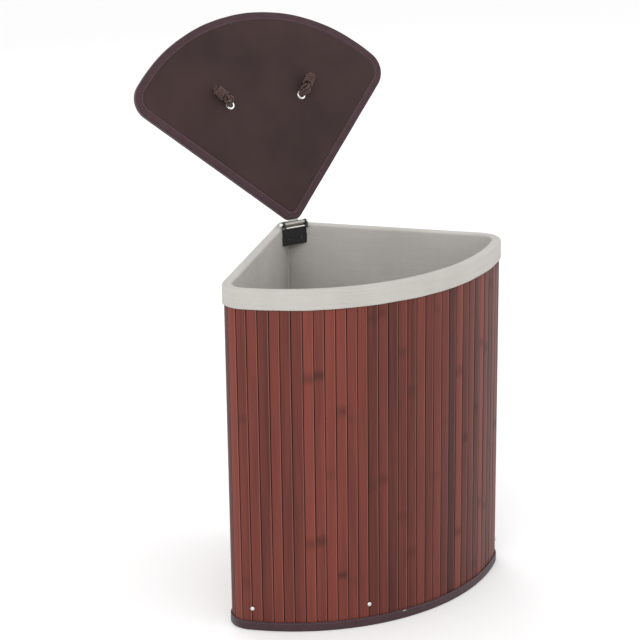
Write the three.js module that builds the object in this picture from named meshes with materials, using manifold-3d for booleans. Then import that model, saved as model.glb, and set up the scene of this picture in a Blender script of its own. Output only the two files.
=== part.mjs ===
// A corner laundry hamper of bamboo slats with a removable cloth liner and a hinged lid.
// Seen from above it is a quarter round: two straight backs that meet at a right angle, and a
// curved front. Units are millimetres, +Z is up, the curved front faces -Y, and the origin is on
// the floor, under the bottom binding at the back corner. The lid stands open.

import * as THREE from 'three';
import { mergeVertices } from 'three/addons/utils/BufferGeometryUtils.js';
import Module from 'manifold-3d';

const wasm = await Module();
wasm.setup();

// driving dimensions

// plan of the body, measured to the outer face of the slats, from the sharp back corner
const bodyPlan = {
  depth: 378,
  arcRadius: 333.5,
  cornerRadius: 36,
  halfAngle: Math.PI / 4,
  backRadius: 18,
};
const footMiddle = 1.75; // from the slats' outer face inwards to the middle of the binding's foot
const rimHeight = 555; // floor to the top of the folded cuff
const gap = 0.3; // clearance between neighbouring pieces

// the slat curtain
const slatPitch = 16.7;
const frontSlats = 38;
const backSlats = 19;
const slatThickness = 2.4;
const grooveDepth = 1.1;
const grooveWidth = 1.6;
const slatCrown = 0.15; // a slat's shoulders lie this far below its middle
const panelEdge = 0.3; // and its end edges this far
const backingThickness = 0.8;
const slatBottom = 1.8;
const slatTop = rimHeight - 3.6;

// cloth tape folded round the curtain's two edges
const bindingHeight = 14.8;
const bindingThickness = 1.5;
const tapeHeight = 13;
const tapeThickness = 0.9;
const tapeCrush = 0.1; // the tape's inner leg is pressed this much thinner
const bindingCrush = 0.3;
const stapleStation = -7;
const stapleSize = new THREE.Vector3(6, 0.8, 0.9);
const stapleDrop = 1.5; // below the binding's upper edge

// base board and its rivets
const boardBottom = 31.5;
const boardThickness = 9;
const rivetShank = 2;
const rivetHead = 3.4;
const rivetDome = 2.1;
const rivetDepth = 18;
const rivetClearance = 0.3;
const frontRivetGrooves = { front_left: -15, front_middle: -4, front_right: 16 }; // from the middle
const backRivetDistances = [90, 250]; // from the back corner along each straight back

// bent wooden hoop that stiffens the mouth
const hoopThickness = 6.5;
const hoopHeight = 23;
const hoopTop = rimHeight - 3;

// cloth liner
const clothThickness = 1.1;
const cuffHeight = 30;
const cuffInnerHeight = 12;
const cuffStandOff = 1.5;
const linerEase = 0.1; // the wall stands this much clear of the hoop

// hinge
const openAngle = THREE.MathUtils.degToRad(115.5);
const pinDistance = 40; // pin axis in front of the sharp back corner
const pinLift = 5; // pin axis above the rim
const pinRadius = 2;
const pinHeadRadius = 3.6;
const pinHeadLength = 3;
const knuckleRadius = 4.2;
const knuckleBore = 2.4;
const bracketMargin = 0.4; // between the knuckle and the ears
const earInner = 18;
const earOuter = 21.8;
const bracketThickness = 1.6;
const bracketDrop = 30; // plate below the rim
const flangeLength = 14;
const flangeDrop = 14; // the flanges' upper edge below the rim
const plateDrop = 7.2; // the plate's upper edge below the pin
const hingeRivetDrop = 20; // below the rim
const hingeRivetShank = 1.9;
const hingeRivetHead = 4;
const hingeRivetHeadHeight = 1.1;
const rivetUpset = 1.4; // the closed end inside the hamper
const rivetHoleDepth = 25;
const earRadius = 4.5;
const stopEarRadius = 3;
const stopBarRadius = 1.5;
const stopBarOffset = new THREE.Vector2(-4.4, -5.4); // stop bar from the pin, along Y and Z
const leafHalfWidth = 8.4;
const leafThickness = 1.6;
const leafLength = 40;
const tailThickness = 1.2;
const tailReach = 3.8;
const leafRivetX = 5;
const leafRivetRadius = 1.6;

// lid, in its closed place, with Y and Z counted from the pin
const lidPlan = {
  depth: 355,
  arcRadius: 294,
  cornerRadius: 36,
  halfAngle: THREE.MathUtils.degToRad(46),
  flatHalf: 10,
};
const lidApexY = 3.5; // where the lid's two straight edges would meet
const lidUnderside = 0.4 - pinLift; // rests this much above the cuff
const lidBindingWidth = 13.3;
const lidBindingThickness = 1;
const lidWrap = 1.3; // binding round the edge
const lidBoardThickness = 5;
const lidSlatThickness = 2.2;
const lidSlatsEachSide = 15;
const lidClothThickness = 0.7;

// rope handle and its two eyelets
const eyeletX = 66;
const eyeletY = -205;
const eyeletBore = 4;
const eyeletTube = 5;
const eyeletFlange = 7.2;
const eyeletRim = 0.9;
const curlRadius = 6.3; // the tube's end, turned over the washer
const washerThickness = 0.7;
const ropeRadius = 3.5;
const ropeAxisLift = 10; // swing axis above the pin, in the closed lid
const ropeDrop = 50;
const knotLength = 46;
const knotRadius = 9.5;
const knotReach = 15; // from the eyelet to the knot's middle
const knotLean = new THREE.Vector2(0.62, -0.78);

// finishes

const finishes = {
  slat: { color: 0x70382f, roughness: 0.5, metalness: 0 },
  backing: { color: 0x4a3228, roughness: 0.95, metalness: 0 },
  binding: { color: 0x4a3438, roughness: 0.9, metalness: 0 },
  lining: { color: 0x3e302f, roughness: 0.92, metalness: 0 },
  linen: { color: 0xd9d6ce, roughness: 0.95, metalness: 0 },
  board: { color: 0x8a6a4c, roughness: 0.75, metalness: 0 },
  steel: { color: 0xc8c8c6, roughness: 0.3, metalness: 1 },
  blackSteel: { color: 0x15151a, roughness: 0.45, metalness: 0.6 },
  rope: { color: 0x4b362f, roughness: 0.95, metalness: 0 },
};

// plan outlines

// A quarter round outline with parallel offsets. The right half runs from the middle of the front
// (station 0) to the back corner: the wide front arc, a corner arc, a straight back, and then the
// rounded or flat back corner. The left half is its mirror image, with stations below 0.
class Outline {
  constructor({ depth, arcRadius, cornerRadius, halfAngle, backRadius = 0, flatHalf = 0 }, apexY = 0) {
    const along = new THREE.Vector2(Math.sin(halfAngle), -Math.cos(halfAngle));
    const normal = new THREE.Vector2(Math.cos(halfAngle), Math.sin(halfAngle));
    const apex = new THREE.Vector2(0, apexY);
    const frontCentre = new THREE.Vector2(0, apexY + arcRadius - depth);

    // the corner arc's centre is one radius inside the back, and touches the front arc from within
    const start = apex.clone().addScaledVector(normal, -cornerRadius);
    const toStart = start.clone().sub(frontCentre);
    const half = toStart.dot(along);
    const reach = Math.sqrt(half * half - toStart.lengthSq() + (arcRadius - cornerRadius) ** 2) - half;
    const cornerCentre = start.clone().addScaledVector(along, reach);
    const meet = cornerCentre.clone().sub(frontCentre).angle() - 2 * Math.PI;

    const backTurn = backRadius / Math.tan(halfAngle);
    const wallEnd = apex.clone().addScaledVector(along, flatHalf ? flatHalf / along.x : backTurn);
    const wallStart = apex.clone().addScaledVector(along, reach);
    this.segments = [
      { centre: frontCentre, radius: arcRadius, from: -Math.PI / 2, to: meet, steps: 20 },
      { centre: cornerCentre, radius: cornerRadius, from: meet, to: halfAngle, steps: 9 },
      { start: wallStart, end: wallEnd, normal, steps: 1 },
    ];
    if (flatHalf) {
      const flatNormal = new THREE.Vector2(0, 1);
      const mitre = normal.clone().add(flatNormal).divideScalar(1 + normal.dot(flatNormal));
      const end = new THREE.Vector2(0, wallEnd.y);
      this.segments.push({ start: wallEnd, end, normal: flatNormal, mitre, steps: 1 });
    } else {
      const centre = new THREE.Vector2(0, apexY - backRadius / along.x);
      this.segments.push({ centre, radius: backRadius, from: halfAngle, to: Math.PI / 2, steps: 4 });
    }
    this.length = 0;
    for (const segment of this.segments) {
      segment.at = this.length;
      segment.length = segment.centre
        ? segment.radius * (segment.to - segment.from)
        : segment.start.distanceTo(segment.end);
      this.length += segment.length;
    }
    this.backStation = this.segments[2].at + this.segments[2].length + backTurn;
  }

  // point and outward normal at a fraction of one segment
  static pointOn(segment, fraction) {
    if (segment.centre) {
      const angle = THREE.MathUtils.lerp(segment.from, segment.to, fraction);
      const normal = new THREE.Vector2(Math.cos(angle), Math.sin(angle));
      return { point: segment.centre.clone().addScaledVector(normal, segment.radius), normal };
    }
    const point = segment.start.clone().lerp(segment.end, fraction);
    return { point, normal: fraction === 0 && segment.mitre ? segment.mitre : segment.normal };
  }

  // point and outward normal at a distance along the outline from the middle of the front
  at(station) {
    const distance = Math.abs(station);
    const segment = this.segments.findLast((each) => each.at <= distance);
    const fraction = Math.min(1, (distance - segment.at) / segment.length);
    const { point, normal } = Outline.pointOn(segment, fraction);
    if (station >= 0) return { point, normal };
    return { point: new THREE.Vector2(-point.x, point.y), normal: new THREE.Vector2(-normal.x, normal.y) };
  }

  // station on the right-hand back, a distance from the sharp back corner
  onBack(distance) {
    return this.backStation - distance;
  }

  // the whole outline, moved outwards by an offset
  ring(offset) {
    const half = [];
    this.segments.forEach((segment, index) => {
      const last = index === this.segments.length - 1;
      for (let step = index ? 0 : 1; step < segment.steps + (last ? 1 : 0); step++) {
        const { point, normal } = Outline.pointOn(segment, step / segment.steps);
        half.push(point.addScaledVector(normal, offset));
      }
    });
    const front = Outline.pointOn(this.segments[0], 0);
    const middle = front.point.addScaledVector(front.normal, offset);
    const mirrored = half.slice(0, -1).reverse().map((each) => new THREE.Vector2(-each.x, each.y));
    return [middle, ...half, ...mirrored];
  }
}

// solids

function toSolid(geometry) {
  const bare = new THREE.BufferGeometry();
  bare.setAttribute('position', geometry.getAttribute('position'));
  bare.setIndex(geometry.getIndex());
  const merged = mergeVertices(bare, 1e-4);
  return new wasm.Manifold(new wasm.Mesh({
    numProp: 3,
    vertProperties: merged.getAttribute('position').array,
    triVerts: new Uint32Array(merged.getIndex().array),
  }));
}

function toGeometry(solid) {
  const { vertProperties, triVerts } = solid.getMesh();
  const geometry = new THREE.BufferGeometry();
  geometry.setAttribute('position', new THREE.BufferAttribute(vertProperties, 3));
  geometry.setIndex(new THREE.BufferAttribute(triVerts, 1));
  return geometry;
}

// a flat shape raised from one height to another
function raised(shape, bottom, top) {
  const geometry = new THREE.ExtrudeGeometry(shape, { depth: top - bottom, bevelEnabled: false });
  return toSolid(geometry.translate(0, 0, bottom));
}

function prism(points, bottom, top) {
  return raised(new THREE.Shape(points), bottom, top);
}

// a wall that follows an outline between two offsets
function wallRing(outline, outer, inner, bottom, top) {
  const shape = new THREE.Shape(outline.ring(outer));
  shape.holes.push(new THREE.Path(outline.ring(inner)));
  return raised(shape, bottom, top);
}

function box(from, to) {
  const low = new THREE.Vector3(...from);
  const size = new THREE.Vector3(...to).sub(low);
  const geometry = new THREE.BoxGeometry(size.x, size.y, size.z);
  return toSolid(geometry.translate(low.x + size.x / 2, low.y + size.y / 2, low.z + size.z / 2));
}

// a round bar along one axis, between two places on it
function bar(axis, radius, from, to, centre, sides = 20) {
  const geometry = new THREE.CylinderGeometry(radius, radius, to - from, sides);
  const middle = new THREE.Vector3()[`set${axis}`]((from + to) / 2);
  if (axis === 'X') geometry.rotateZ(-Math.PI / 2);
  if (axis === 'Z') geometry.rotateX(Math.PI / 2);
  return toSolid(geometry.translate(centre.x + middle.x, centre.y + middle.y, centre.z + middle.z));
}

function turned(profile, sides) {
  return new THREE.LatheGeometry(profile.map(([radius, along]) => new THREE.Vector2(radius, along)), sides);
}

// a turned piece whose profile is [radius, distance] along an outward direction in plan
function turnedAlong({ point, normal }, height, profile, sides) {
  const geometry = turned(profile, sides);
  const outwards = new THREE.Vector3(normal.x, normal.y, 0);
  geometry.applyQuaternion(new THREE.Quaternion().setFromUnitVectors(new THREE.Vector3(0, 1, 0), outwards));
  return toSolid(geometry.translate(point.x, point.y, height));
}

// the same for a piece whose axis is upright
function turnedUp(x, y, profile, sides) {
  return toSolid(turned(profile, sides).rotateX(Math.PI / 2).translate(x, y, 0));
}

function part(parent, name, solid, finish) {
  const mesh = new THREE.Mesh(toGeometry(solid), new THREE.MeshStandardMaterial(finishes[finish]));
  mesh.name = name;
  parent.add(mesh);
}

// layers of the wall, as offsets from the slats' outer face

const slatInner = -slatThickness;
const backingOuter = slatInner - gap;
const backingInner = backingOuter - backingThickness;
const boardEdge = backingInner - 2 * gap;
const hoopOuter = backingInner - 2 * gap - tapeThickness + tapeCrush;
const hoopInner = hoopOuter - hoopThickness;
const linerOuter = hoopInner - gap;
const linerInner = linerOuter - clothThickness;
const cuffInner = cuffStandOff;
const cuffOuter = cuffInner + clothThickness;

const body = new Outline(bodyPlan);
const hamper = new THREE.Group();
hamper.position.y = bodyPlan.backRadius * (Math.SQRT2 - 1) + footMiddle;

// slat curtain

// slats from one station to another, joined edge to edge, with a groove between each two
function slatBand(from, to, count) {
  const pitch = (to - from) / count;
  const outer = [];
  const inner = [];
  const place = (list, station, offset) => {
    const { point, normal } = body.at(station);
    list.push(point.addScaledVector(normal, offset));
  };
  for (let index = 0; index < count; index++) {
    const start = from + index * pitch;
    place(outer, start, index ? -grooveDepth : -panelEdge);
    place(outer, start + grooveWidth / 2, -slatCrown);
    place(outer, start + pitch / 2, 0);
    place(outer, start + pitch - grooveWidth / 2, -slatCrown);
    for (const fraction of [0, 1 / 3, 2 / 3]) place(inner, start + fraction * pitch, slatInner);
  }
  place(outer, to, -panelEdge);
  place(inner, to, slatInner);
  return prism([...outer, ...inner.reverse()], slatBottom, slatTop);
}

const frontEnd = slatPitch * frontSlats / 2;
const backStart = frontEnd + gap;
const backEnd = body.length - gap;
const panels = {
  front_slat_panel: slatBand(-frontEnd, frontEnd, frontSlats),
  back_left_slat_panel: slatBand(-backEnd, -backStart, backSlats),
  back_right_slat_panel: slatBand(backStart, backEnd, backSlats),
};
let backing = wallRing(body, backingOuter, backingInner, slatBottom, slatTop);
let board = prism(body.ring(boardEdge), boardBottom, boardBottom + boardThickness);
let hoop = wallRing(body, hoopOuter, hoopInner, hoopTop - hoopHeight, hoopTop);
const boardTop = boardBottom + boardThickness;
const linerFloorBottom = boardTop + gap + linerEase;
const linerFloorTop = linerFloorBottom + clothThickness;
const linerWallTop = rimHeight - cuffInnerHeight - gap;
let linerWall = wallRing(body, linerOuter - linerEase, linerInner, linerFloorTop + 2 * gap, linerWallTop);

// rivets through the curtain into the base board

const rivetStations = {};
for (const [place, groove] of Object.entries(frontRivetGrooves)) rivetStations[place] = groove * slatPitch;
for (const [index, distance] of backRivetDistances.entries()) {
  rivetStations[`back_right_${index + 1}`] = body.onBack(distance);
  rivetStations[`back_left_${index + 1}`] = -body.onBack(distance);
}
const baseRivets = {};
for (const [place, station] of Object.entries(rivetStations)) {
  const seat = body.at(station);
  const height = boardBottom + boardThickness / 2;
  const hole = turnedAlong(seat, height, [
    [0, -rivetDepth - gap], [rivetShank + rivetClearance, -rivetDepth - gap],
    [rivetShank + rivetClearance, rivetHead], [0, rivetHead]], 12);
  for (const name of Object.keys(panels)) panels[name] = panels[name].subtract(hole);
  backing = backing.subtract(hole);
  board = board.subtract(hole);
  baseRivets[`base_rivet_${place}`] = turnedAlong(seat, height, [
    [0, -rivetDepth], [rivetShank, -rivetDepth], [rivetShank, gap], [rivetHead, gap],
    [rivetHead * 0.92, rivetDome * 0.52], [rivetHead * 0.6, rivetDome * 0.9], [0, rivetDome]], 16);
}

// hinge rivets through the two backs and the hoop

const flangeOuter = linerInner - gap;
const flangeInner = flangeOuter - bracketThickness;
const plateBack = -pinDistance - gap;
const plateFront = plateBack - bracketThickness;
const flangeFrontX = -plateFront + flangeOuter * Math.SQRT2;
const flangeBackX = flangeFrontX - flangeLength * Math.SQRT1_2;
const flangeInnerFrontX = -plateBack + flangeInner * Math.SQRT2;
const flangeInnerBackX = flangeBackX - bracketThickness * Math.SQRT1_2;
const hingeRivetHeight = rimHeight - hingeRivetDrop;
const hingeRivets = {};
for (const [side, sign] of [['left', -1], ['right', 1]]) {
  const middleX = (flangeInnerFrontX + flangeInnerBackX) / 2 - flangeInner * Math.SQRT1_2;
  const seat = body.at(sign * body.onBack(middleX * Math.SQRT2));
  const bore = hingeRivetShank + rivetClearance;
  const hole = turnedAlong(seat, hingeRivetHeight, [
    [0, -rivetHoleDepth], [bore, -rivetHoleDepth], [bore, hingeRivetHead], [0, hingeRivetHead]], 12);
  for (const name of Object.keys(panels)) panels[name] = panels[name].subtract(hole);
  backing = backing.subtract(hole);
  hoop = hoop.subtract(hole);
  linerWall = linerWall.subtract(hole);
  const tip = flangeInner - gap - rivetUpset;
  hingeRivets[side] = { hole, solid: turnedAlong(seat, hingeRivetHeight, [
    [0, tip], [hingeRivetHead * 0.65, tip], [hingeRivetHead * 0.87, flangeInner - gap],
    [hingeRivetShank, flangeInner - gap], [hingeRivetShank, gap], [hingeRivetHead, gap],
    [hingeRivetHead, hingeRivetHeadHeight], [0, hingeRivetHeadHeight]], 12) };
}

for (const [name, solid] of Object.entries(panels)) part(hamper, name, solid, 'slat');
part(hamper, 'curtain_backing', backing, 'backing');
part(hamper, 'base_board', board, 'board');
part(hamper, 'rim_hoop', hoop, 'board');
for (const [name, solid] of Object.entries(baseRivets)) part(hamper, name, solid, 'steel');

// tapes folded round the curtain's edges

const wrapInner = backingInner - gap;
const bottomBinding = wallRing(body, gap + bindingThickness, wrapInner - bindingThickness + bindingCrush,
  0, bindingHeight)
  .subtract(wallRing(body, gap, wrapInner, bindingThickness, bindingHeight + 1));
part(hamper, 'bottom_binding', bottomBinding, 'binding');

const tapeTop = slatTop + gap + tapeThickness;
const rimTape = wallRing(body, gap + tapeThickness, wrapInner - tapeThickness + tapeCrush,
  tapeTop - tapeHeight, tapeTop)
  .subtract(wallRing(body, gap, wrapInner, tapeTop - tapeHeight - 1, tapeTop - tapeThickness));
part(hamper, 'rim_tape', rimTape, 'binding');

// a wire staple that pins down the overlap of the bottom binding
const stapleSeat = body.at(stapleStation);
const staple = toSolid(new THREE.BoxGeometry(stapleSize.x, stapleSize.y, stapleSize.z).translate(
  stapleSeat.point.x,
  stapleSeat.point.y - 2 * gap - bindingThickness - stapleSize.y / 2,
  bindingHeight - stapleDrop,
));
part(hamper, 'binding_staple', staple, 'steel');

// cloth liner

part(hamper, 'liner_wall', linerWall, 'linen');
const linerFloor = prism(body.ring(linerInner - gap), linerFloorBottom, linerFloorTop);
part(hamper, 'liner_floor', linerFloor, 'linen');
const cuffBottom = rimHeight - cuffHeight;
const cuff = wallRing(body, cuffOuter, linerInner, cuffBottom, rimHeight)
  .subtract(wallRing(body, cuffInner, linerOuter, cuffBottom - 1, rimHeight - clothThickness))
  .subtract(wallRing(body, linerOuter + 0.5, linerInner - 1, cuffBottom - 1, rimHeight - cuffInnerHeight));
part(hamper, 'liner_cuff', cuff, 'linen');

// hinge: bracket inside the back corner

const pinHead = earOuter + gap;
const pin = new THREE.Vector3(0, -pinDistance, rimHeight + pinLift);
const stopBar = new THREE.Vector3(0, pin.y + stopBarOffset.x, pin.z + stopBarOffset.y);

// a plate across the corner with a flange lying on each back
const channel = [
  [flangeFrontX, plateFront],
  [flangeBackX, plateFront + flangeFrontX - flangeBackX],
  [flangeInnerBackX, plateFront + flangeFrontX - flangeBackX - bracketThickness * Math.SQRT1_2],
  [flangeInnerFrontX, plateBack],
];
const channelPoints = [...channel, ...channel.map(([x, y]) => [-x, y]).reverse()]
  .map(([x, y]) => new THREE.Vector2(x, y));
const plateTop = pin.z - plateDrop;
let bracket = prism(channelPoints, rimHeight - bracketDrop, rimHeight - flangeDrop)
  .add(box([-earOuter, plateFront, rimHeight - bracketDrop], [earOuter, plateBack, plateTop]));
for (const sign of [-1, 1]) {
  const [from, to] = [sign * earInner, sign * earOuter].sort((a, b) => a - b);
  const ear = bar('X', earRadius, from, to, pin)
    .add(bar('X', stopEarRadius, from, to, stopBar))
    .add(box([from, stopBar.y - stopEarRadius + gap / 2, stopBar.z], [to, plateBack, pin.z - 1]))
    .add(box([from, plateFront, plateTop - 1], [to, plateBack, pin.z]));
  bracket = bracket.add(ear);
}
bracket = bracket
  .subtract(bar('X', pinRadius + gap, -pinHead, pinHead, pin))
  .subtract(bar('X', stopBarRadius + gap, -pinHead, pinHead, stopBar));
for (const { hole } of Object.values(hingeRivets)) bracket = bracket.subtract(hole);
part(hamper, 'hinge_bracket', bracket, 'blackSteel');
for (const [side, { solid }] of Object.entries(hingeRivets)) {
  part(hamper, `hinge_rivet_${side}`, solid, 'steel');
}

const pinEnd = pinHead + pinHeadLength;
const hingePin = bar('X', pinRadius, -pinEnd, pinEnd, pin)
  .add(bar('X', pinHeadRadius, pinHead, pinEnd, pin))
  .add(bar('X', pinHeadRadius, -pinEnd, -pinHead, pin));
part(hamper, 'hinge_pin', hingePin, 'steel');
const stopBarEnd = earOuter + 2 * gap;
part(hamper, 'lid_stop_bar', bar('X', stopBarRadius, -stopBarEnd, stopBarEnd, stopBar, 16), 'steel');

// lid, built closed about the pin and then turned open

const lidGroup = new THREE.Group();
lidGroup.position.copy(pin);
lidGroup.rotation.x = -openAngle;
hamper.add(lidGroup);

const lid = new Outline(lidPlan, lidApexY);
const zCloth = lidUnderside + gap;
const zBoard = lidUnderside + lidBindingThickness + gap;
const zSlats = zBoard + lidBoardThickness + gap;
const zSlatTop = zSlats + lidSlatThickness;
const lidTop = zSlatTop + gap + lidBindingThickness;
const flatEdge = lidApexY - lidPlan.flatHalf / Math.tan(lidPlan.halfAngle);
const leafMiddle = zBoard + lidBoardThickness / 2;
const origin = new THREE.Vector3();
const cutReach = 30; // cutters reach this far past the lid

const eyeletHoles = [-eyeletX, eyeletX].map((x) => (
  bar('Z', eyeletTube + gap, -cutReach, cutReach, new THREE.Vector3(x, eyeletY, 0), 24)));
const cutEyelets = (solid) => eyeletHoles.reduce((rest, hole) => rest.subtract(hole), solid);
const leafSlot = box(
  [-leafHalfWidth - gap, flatEdge - leafLength - gap, leafMiddle - leafThickness / 2 - gap],
  [leafHalfWidth + gap, 0, leafMiddle + leafThickness / 2 + gap],
);
const leafRivetPlaces = [-leafRivetX, leafRivetX].map((x) => (
  new THREE.Vector3(x, flatEdge - leafLength * 0.6, 0)));
const cutLeafRivets = (solid) => leafRivetPlaces.reduce((rest, place) => (
  rest.subtract(bar('Z', leafRivetRadius + gap, -cutReach, cutReach, place, 12))), solid);

// board
const lidInside = lid.ring(-lidWrap - gap);
const lidBoard = prism(lidInside, zBoard, zBoard + lidBoardThickness).subtract(leafSlot);
part(lidGroup, 'lid_board', cutLeafRivets(cutEyelets(lidBoard)), 'board');

// slats on the outer face, laid from the hinge to the front
function lidSlatSheet() {
  const across = lidSlatsEachSide;
  const section = [-1, 1].map((side) => new THREE.Vector2(side * across * slatPitch, zSlats));
  for (let index = across; index > -across; index--) {
    const edge = index * slatPitch;
    section.push(new THREE.Vector2(edge, zSlatTop - grooveDepth));
    section.push(new THREE.Vector2(edge - grooveWidth / 2, zSlatTop - slatCrown));
    section.push(new THREE.Vector2(edge - slatPitch / 2, zSlatTop));
    section.push(new THREE.Vector2(edge - slatPitch + grooveWidth / 2, zSlatTop - slatCrown));
  }
  section.push(new THREE.Vector2(-across * slatPitch, zSlatTop - grooveDepth));
  const geometry = new THREE.ExtrudeGeometry(new THREE.Shape(section), {
    depth: lidPlan.depth + 2 * cutReach,
    bevelEnabled: false,
  });
  return toSolid(geometry.rotateX(Math.PI / 2).translate(0, cutReach, 0));
}
const lidSlats = cutEyelets(lidSlatSheet().intersect(prism(lidInside, zSlats - 1, zSlatTop + 1)));
part(lidGroup, 'lid_slats', lidSlats, 'slat');

// cloth lining on the underside
const lining = cutEyelets(prism(lid.ring(-lidBindingWidth - gap), zCloth, zCloth + lidClothThickness));
part(lidGroup, 'lid_lining', lining, 'lining');

// tape folded round the edge, open where the hinge leaf comes out
const lidBinding = wallRing(lid, 0, -lidBindingWidth, lidUnderside, lidTop)
  .subtract(wallRing(lid, -lidWrap, -lidBindingWidth - 1, zBoard - gap, zSlatTop + gap))
  .subtract(leafSlot);
part(lidGroup, 'lid_binding', lidBinding, 'binding');

// hinge leaf: a knuckle on the pin, a tongue let into the board, and a tail that meets the stop bar
const tailAngle = stopBarOffset.angle() + openAngle
  + Math.asin((stopBarRadius + gap + tailThickness / 2) / stopBarOffset.length());
const tail = toSolid(new THREE.BoxGeometry(2 * leafHalfWidth, tailReach, tailThickness)
  .translate(0, knuckleBore + bracketMargin + tailReach / 2, 0).rotateX(tailAngle));
const knuckleEnd = earInner - bracketMargin;
const leaf = bar('X', knuckleRadius, -knuckleEnd, knuckleEnd, origin, 24)
  .add(box([-leafHalfWidth, flatEdge - leafLength, leafMiddle - leafThickness / 2],
    [leafHalfWidth, -knuckleBore - gap, leafMiddle + leafThickness / 2]))
  .add(tail)
  .subtract(bar('X', knuckleBore, -cutReach, cutReach, origin, 24));
part(lidGroup, 'hinge_leaf', cutLeafRivets(leaf), 'steel');
for (const [index, place] of leafRivetPlaces.entries()) {
  const rivet = bar('Z', leafRivetRadius, zBoard + gap, zBoard + lidBoardThickness - gap, place, 12);
  part(lidGroup, `leaf_rivet_${index ? 'right' : 'left'}`, rivet, 'steel');
}

// eyelets, knots and the rope handle

const washerTop = zCloth - gap;
const washerBottom = washerTop - washerThickness;
const curlBottom = washerBottom - gap - eyeletRim / 2;
const flangeTop = zSlatTop + gap + eyeletRim;
const stubTop = ropeAxisLift - ropeRadius - 2 * gap;
const knotCentreZ = curlBottom - 2 * gap - knotRadius;
for (const [side, sign] of [['left', -1], ['right', 1]]) {
  const x = sign * eyeletX;
  const eyelet = turnedUp(x, eyeletY, [
    [eyeletBore, curlBottom], [curlRadius, curlBottom], [curlRadius, washerBottom - gap],
    [eyeletTube, washerBottom - gap], [eyeletTube, zSlatTop + gap], [eyeletFlange, zSlatTop + gap],
    [eyeletFlange - eyeletRim / 2, flangeTop], [eyeletBore, flangeTop], [eyeletBore, curlBottom]], 24);
  part(lidGroup, `eyelet_${side}`, eyelet, 'steel');
  const washer = turnedUp(x, eyeletY, [
    [eyeletTube + gap, washerTop], [eyeletTube + gap, washerBottom], [eyeletFlange, washerBottom],
    [eyeletFlange, washerTop], [eyeletTube + gap, washerTop]], 24);
  part(lidGroup, `eyelet_washer_${side}`, washer, 'steel');

  // the rope goes through the eyelet into a knot that leans outwards and forwards
  const lean = new THREE.Vector3(sign * knotLean.x, knotLean.y, 0).normalize();
  const knotBall = new THREE.SphereGeometry(knotRadius, 16, 10);
  knotBall.scale(1, knotLength / (2 * knotRadius), 1);
  knotBall.applyQuaternion(new THREE.Quaternion().setFromUnitVectors(new THREE.Vector3(0, 1, 0), lean));
  knotBall.translate(x + lean.x * knotReach, eyeletY + lean.y * knotReach, knotCentreZ);
  const stub = bar('Z', ropeRadius, knotCentreZ, stubTop, new THREE.Vector3(x, eyeletY, 0), 12);
  part(lidGroup, `handle_knot_${side}`, toSolid(knotBall).add(stub), 'rope');
}

// the loop hangs straight down from the two eyelets while the lid stands open
const ropeGroup = new THREE.Group();
ropeGroup.position.set(0, eyeletY, ropeAxisLift);
ropeGroup.rotation.x = openAngle - Math.PI / 2;
lidGroup.add(ropeGroup);
// half the loop, as shares of its half width and of its drop
const ropePoints = [[1, 0], [1, 0.16], [0.93, 0.48], [0.7, 0.8], [0.36, 0.96]];
const ropeRoute = [
  ...ropePoints.map(([x, y]) => new THREE.Vector3(-x * eyeletX, y * ropeDrop, 0)),
  new THREE.Vector3(0, ropeDrop, 0),
  ...ropePoints.map(([x, y]) => new THREE.Vector3(x * eyeletX, y * ropeDrop, 0)).reverse(),
];
const ropeSection = new THREE.Shape();
ropeSection.absarc(0, 0, ropeRadius, 0, 2 * Math.PI);
const rope = new THREE.ExtrudeGeometry(ropeSection, {
  steps: 24,
  curveSegments: 8,
  extrudePath: new THREE.CatmullRomCurve3(ropeRoute),
  bevelEnabled: false,
});
part(ropeGroup, 'handle_rope', toSolid(rope), 'rope');

export default hamper;
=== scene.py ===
from math import atan2, cos, pi, radians, sin, sqrt, tan
import bmesh
import bpy
import numpy as np
from mathutils import Matrix, Vector


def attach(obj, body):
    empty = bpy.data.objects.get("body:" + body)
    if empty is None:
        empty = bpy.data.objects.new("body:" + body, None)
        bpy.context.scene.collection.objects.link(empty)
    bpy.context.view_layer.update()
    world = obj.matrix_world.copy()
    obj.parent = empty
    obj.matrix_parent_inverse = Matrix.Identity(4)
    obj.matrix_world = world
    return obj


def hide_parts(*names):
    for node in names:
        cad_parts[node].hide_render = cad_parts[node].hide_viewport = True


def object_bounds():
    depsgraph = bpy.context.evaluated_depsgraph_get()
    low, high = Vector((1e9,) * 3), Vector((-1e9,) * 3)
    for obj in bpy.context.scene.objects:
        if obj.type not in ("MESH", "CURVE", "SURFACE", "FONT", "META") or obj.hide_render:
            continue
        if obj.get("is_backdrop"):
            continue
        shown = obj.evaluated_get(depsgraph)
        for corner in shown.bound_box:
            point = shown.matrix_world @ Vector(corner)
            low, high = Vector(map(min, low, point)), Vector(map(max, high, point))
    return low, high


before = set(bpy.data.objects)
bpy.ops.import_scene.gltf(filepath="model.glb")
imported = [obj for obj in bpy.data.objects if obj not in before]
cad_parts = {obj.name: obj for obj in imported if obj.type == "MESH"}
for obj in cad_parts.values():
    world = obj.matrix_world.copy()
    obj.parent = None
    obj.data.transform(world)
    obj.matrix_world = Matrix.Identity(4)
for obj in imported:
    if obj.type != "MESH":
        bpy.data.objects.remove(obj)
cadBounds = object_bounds()
mm = 0.001
print("frame loaded")

# camera

view = {
    "lens": 125.44, "sensor": 36.0,
    "place": (-1.7244, -3.0261, 1.5744),
    "yaw": 0.534, "pitch": 0.329, "roll": 0.012,
}


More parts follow.
